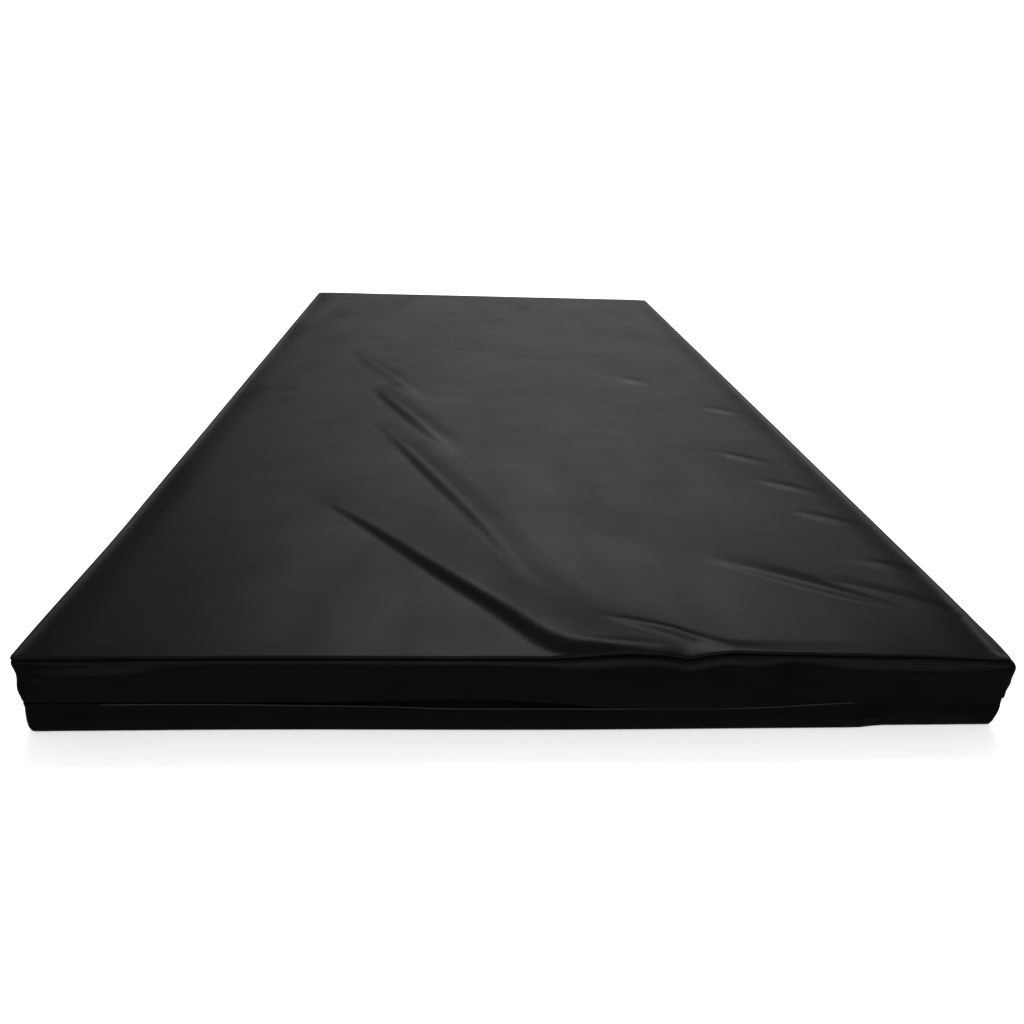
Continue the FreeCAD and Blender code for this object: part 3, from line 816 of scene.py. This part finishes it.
def make_coil(name, side):
    """One coil: a nylon wire wound round and round along the tape's edge, with its heads at the zip's middle.

    The two coils are half a turn apart, and both spread at the end where the slider is parked.
    """
    run = run_round(-1)
    end = run.along[-1] - (STRIP_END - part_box("zip_coil_upper" if side > 0 else "zip_coil_lower")[1].y)
    start = mm(20) - end
    steps_a_turn = 7
    turn = np.arange(int(-2 * start / COIL_PITCH * steps_a_turn)) / steps_a_turn
    distance = start + turn * COIL_PITCH + (0 if side > 0 else COIL_PITCH / 2)
    angle = 2 * math.pi * turn
    wire, half_thickness, half_height = mm(0.30), mm(0.9), mm(1.525)
    depth = COIL_DEPTH + (half_thickness - wire) * np.sin(angle)
    from_middle = mm(0.05) + half_height - (half_height - wire) * np.cos(angle)
    parted = ease(end - mm(30), end - mm(4), distance) * mm(1.5)
    centres = point_at(run, distance, depth, zip_level(distance) + side * (from_middle + parted))
    return tube(name, centres, wire, 3, NYLON)


def make_cord(name, side):
    """The flat cord that runs inside a coil."""
    run = run_round(-1)
    turn = np.arange(8) * math.pi / 4
    height = zip_level(run.along)[:, None] + side * (mm(1.7) + mm(1.55) * np.sin(turn))
    depth = np.broadcast_to(COIL_DEPTH + mm(0.3) * np.cos(turn), height.shape)
    return loft(name, run, depth, height, TAPE, closed=True, capped=True)


def place_zip():
    """The tapes, coils and cords. The slider, pull and stops keep their CAD shapes, in enamel."""
    for name, cad, side in (("zip_tape_woven_upper", "zip_tape_upper", 1),
                            ("zip_tape_woven_lower", "zip_tape_lower", -1)):
        tape = make_tape(name, side)
        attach(tape, "mattress")
        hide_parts(cad)
    for name, cad, side in (("zip_teeth_upper", "zip_coil_upper", 1),
                            ("zip_teeth_lower", "zip_coil_lower", -1)):
        coil = make_coil(name, side)
        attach(coil, "mattress")
        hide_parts(cad)
    for name, side in (("zip_cord_upper", 1), ("zip_cord_lower", -1)):
        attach(make_cord(name, side), "mattress")
    for part in ("zip_slider", "zip_pull", "zip_start_stop", "zip_end_stop_upper", "zip_end_stop_lower"):
        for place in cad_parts[part].material_slots:
            place.material = ENAMEL


# ---------------------------------------------------------------- the pad inside

def pad_level(x, y):
    """Height of the pad's upper face, which follows the cover's dips but not its folds."""
    return THICKNESS - mm(2.4) + np.minimum(top_relief(x, y), 0)


def below_cover(gap):
    """A face of the pad that keeps a gap below its upper face, as a function of x and y."""
    return lambda x, y: pad_level(x, y) - gap


def flat_at(level):
    """A flat face of the pad, as a function of x and y."""
    return lambda x, y: np.full(x.shape, level)


def make_layer(name, cad, material, faces_at, rounding, seed):
    """A soft layer of the pad, as a closed slab with rounded edges.

    faces_at holds the heights of its upper and lower faces, as two functions of x and y.
    """
    low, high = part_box(cad)
    half = np.array([high.x - low.x, high.y - low.y]) / 2 - mm(1.5)
    u, v = np.meshgrid(np.linspace(-1, 1, 72), np.linspace(-1, 1, 136), indexing="ij")
    x, y = u * (half[0] - rounding), v * (half[1] - rounding)
    dent = mm(0.15) * np.abs(waves(x, y, 0.06, seed))
    upper, lower = (np.stack([x, y, level(x, y) - sign * dent], axis=-1).reshape(-1, 3)
                    for level, sign in zip(faces_at, (1, -1)))
    index = numbered(*x.shape)
    ring = edge_order(index)
    away = np.where(np.abs(np.stack([u, v], axis=-1).reshape(-1, 2)[ring]) > 0.999, 1, 0)
    away = away * np.sign(upper[ring, :2]) / np.linalg.norm(away, axis=1)[:, None]
    blocks, loops = [upper], [ring]
    for rim, way, turns in ((upper, -1, np.linspace(0, 1, 6)[1:]), (lower, 1, np.linspace(1, 0, 6)[:-1])):
        for turn in turns * math.pi / 2:
            loops.append(np.arange(len(ring)) + sum(len(block) for block in blocks))
            out = rim[ring, :2] + away * rounding * math.sin(turn)
            blocks.append(np.column_stack([out, rim[ring, 2] + way * rounding * (1 - math.cos(turn))]))
    start = sum(len(block) for block in blocks)
    blocks.append(lower)
    loops.append(ring + start)
    face = quads(index[:-1], index[1:], closed=False)
    bands = [face, face[:, ::-1] + start] + [quads(first, second) for first, second in zip(loops, loops[1:])]
    layer = make_object(name, np.concatenate(blocks), np.concatenate(bands).tolist(), material)
    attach(layer, "mattress")
    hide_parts(cad)
    return layer


def make_liner_sheet(name, cad, upper):
    """A liner panel: a thin sheet over or under the wadding, which turns over its edge to meet the border."""
    low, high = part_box(cad)
    across = np.linspace(low.x, high.x, 76)
    lengthways = np.linspace(low.y, high.y, 146)
    x, y = np.meshgrid(across, lengthways, indexing="ij")
    inwards = np.minimum(high.x - np.abs(x), high.y - np.abs(y))
    turn = mm(4) * (1 - ease(0, mm(14), inwards))
    height = pad_level(x, y) - turn if upper else low.z + turn
    index = numbered(*x.shape)
    faces = quads(index[:-1], index[1:], closed=False)
    if not upper:
        faces = faces[:, ::-1]
    sheet = make_object(name, np.stack([x, y, height], axis=-1).reshape(-1, 3), faces.tolist(), LINER)
    return thicken(sheet, mm(0.5))


def make_liner_border():
    """The liner's border: a band round all four sides, gathered a little between its seams."""
    low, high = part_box("liner_border")
    corner = mm(12)
    half = np.array([high.x, high.y])
    points = []
    for quarter, (sx, sy) in enumerate(((1, -1), (1, 1), (-1, 1), (-1, -1))):
        centre = (half - corner) * (sx, sy)
        for angle in np.linspace(quarter - 1, quarter, 7) * math.pi / 2:
            points.append(centre + corner * np.array([math.cos(angle), math.sin(angle)]))
    points = np.array(points + points[:1])
    lengths = np.concatenate([[0], np.cumsum(np.linalg.norm(np.diff(points, axis=0), axis=1))])
    along = np.linspace(0, lengths[-1], 560, endpoint=False)
    ring = np.stack([np.interp(along, lengths, points[:, k]) for k in (0, 1)], axis=-1)
    away = ring - np.clip(ring, corner - half, half - corner)
    away /= np.maximum(np.linalg.norm(away, axis=1), 1e-9)[:, None]
    seam = mm(4.2)
    top = pad_level(ring[:, 0], ring[:, 1]) - seam
    bottom = low.z + seam
    blocks = []
    for share in np.linspace(0, 1, 12):
        dent = mm(0.5) * bump(share, 0.5, 0.55) * (0.5 + 0.5 * waves(along, share * 0.03, 0.08, 71))
        place = ring - away * np.maximum(dent, 0)[:, None]
        blocks.append(np.column_stack([place, top * (1 - share) + bottom * share]))
    index = numbered(len(blocks), len(ring))
    faces = quads(index[:-1], index[1:]).tolist()
    return thicken(make_object("liner_band", np.concatenate(blocks), faces, LINER), mm(0.5))


def place_pad():
    """The foam, the wadding over and under it, and the liner round them."""
    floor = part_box("batting_bottom")[0].z
    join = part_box("foam_core")[0].z
    foam = make_layer("pad_foam", "foam_core", FOAM, (below_cover(mm(10.4)), flat_at(join)), mm(4), 41)
    upper = make_layer(
        "pad_wadding_top", "batting_top", WADDING, (below_cover(mm(1.0)), below_cover(mm(10.2))), mm(3), 42)
    lower = make_layer(
        "pad_wadding_bottom", "batting_bottom", WADDING, (flat_at(join - mm(0.2)), flat_at(floor)), mm(3), 43)
    low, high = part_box("liner_top")
    width, length = high.x - low.x, high.y - low.y
    around = 2 * (width + length)
    for piece, cad, flat in (
        (make_liner_sheet("liner_sheet_top", "liner_top", True), "liner_top", (width, length)),
        (make_liner_sheet("liner_sheet_bottom", "liner_bottom", False), "liner_bottom", (width, length)),
        (make_liner_border(), "liner_border", (mm(84), around)),
    ):
        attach(piece, "mattress")
        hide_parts(cad)


# ---------------------------------------------------------------- stage, light and camera

def make_stage():
    """A pale floor that curves up into a wall all round, far away.

    It isn't seen in reflections, so that the cloth reflects only the softboxes painted in the world.
    """
    material, tree, shader = new_material("studio_floor", (0.55, 0.55, 0.55), 0.9, specular=0.05)
    tree.links.new(map_range(tree, noise(tree, 3, 2), NOISE, (0.86, 0.94)), shader.inputs["Roughness"])
    profile = np.array([(8, 0), (30, 0), (36, 0.8), (41, 3), (44.5, 7), (46, 12), (46, 20)], float)
    sides = 96
    turn = np.arange(sides) * 2 * math.pi / sides
    rings = [np.column_stack([radius * np.cos(turn), radius * np.sin(turn), np.full(sides, level - mm(0.4))])
             for radius, level in profile]
    index = numbered(len(profile), sides)
    faces = quads(index[:-1], index[1:]).tolist()
    floor = make_object("studio_floor", np.concatenate(rings), [index[0].tolist()] + faces, material)
    floor.visible_glossy = False


def make_world():
    """The studio that the cloth reflects: a bright softbox high up behind, and a dimmer one low in front.

    Each is a glow round a direction, which also fades with height above or below the horizon.
    """
    world = bpy.data.worlds.new("studio")
    world.use_nodes = True
    tree = world.node_tree
    bpy.context.scene.world = world
    place = node(tree, "ShaderNodeTexCoord")
    parts = node(tree, "ShaderNodeSeparateXYZ")
    tree.links.new(place.outputs["Generated"], parts.inputs["Vector"])
    height = parts.outputs["Z"]
    behind, in_front = (0.10, 0.75, 0.65), (0.02, -0.80, -0.60)
    glows = []
    for direction, edge, brightness, levels, fade in (
        (behind, (0.888, 1.0), (1.1, 24.5), (0.17, 0.90), (0.01, 1.0)),
        (in_front, (0.78, 0.98), (0.3, 1.3), (-0.05, 0.05), (1.0, 0.0)),
    ):
        likeness = node(tree, "ShaderNodeVectorMath", operation="DOT_PRODUCT")
        likeness.inputs[1].default_value = direction
        tree.links.new(place.outputs["Generated"], likeness.inputs[0])
        glow = node(tree, "ShaderNodeMath", operation="MULTIPLY")
        lit = map_range(tree, likeness.outputs["Value"], edge, brightness, "SMOOTHSTEP")
        tree.links.new(lit, glow.inputs[0])
        tree.links.new(map_range(tree, height, levels, fade, "SMOOTHSTEP"), glow.inputs[1])
        glows.append(glow.outputs["Value"])
    strength = node(tree, "ShaderNodeMath", operation="ADD")
    tree.links.new(glows[0], strength.inputs[0])
    tree.links.new(glows[1], strength.inputs[1])
    tree.links.new(strength.outputs["Value"], tree.nodes["Background"].inputs["Strength"])
    tree.nodes["Background"].inputs["Color"].default_value = (1.0, 1.0, 1.0, 1)


def make_lights():
    """The reflected studio, and a very soft light from above in front."""
    make_world()
    sun = bpy.data.lights.new("overhead_light", "SUN")
    sun.energy = 6.0
    sun.angle = math.radians(60)
    overhead = bpy.data.objects.new("overhead_light", sun)
    overhead.rotation_euler = (math.radians(53), 0, math.radians(8))
    bpy.context.scene.collection.objects.link(overhead)
    bpy.context.scene.view_settings.view_transform = "Standard"


def make_camera():
    """A camera low in front of the foot end, turned a little right, pitched down and slightly rolled."""
    place = (-0.073, -HALF_LENGTH - 0.698, 0.565)
    yaw, pitch, roll = (math.radians(angle) for angle in (4.0, 24.66, 2.11))
    forward = Vector((math.sin(yaw) * math.cos(pitch), math.cos(yaw) * math.cos(pitch), -math.sin(pitch)))
    level = Vector((math.cos(yaw), -math.sin(yaw), 0))
    upright = level.cross(forward)
    right = math.cos(roll) * level + math.sin(roll) * upright
    up = math.cos(roll) * upright - math.sin(roll) * level
    camera = bpy.data.cameras.new("camera")
    camera.lens = 29.7
    camera.sensor_width = 36
    made = bpy.data.objects.new("camera", camera)
    bpy.context.scene.collection.objects.link(made)
    turn = Matrix((right, up, -forward)).transposed().to_4x4()
    made.matrix_world = Matrix.Translation(place) @ turn
    bpy.context.scene.camera = made


place_cover()
place_zip()
place_pad()
make_stage()
make_lights()
make_camera()
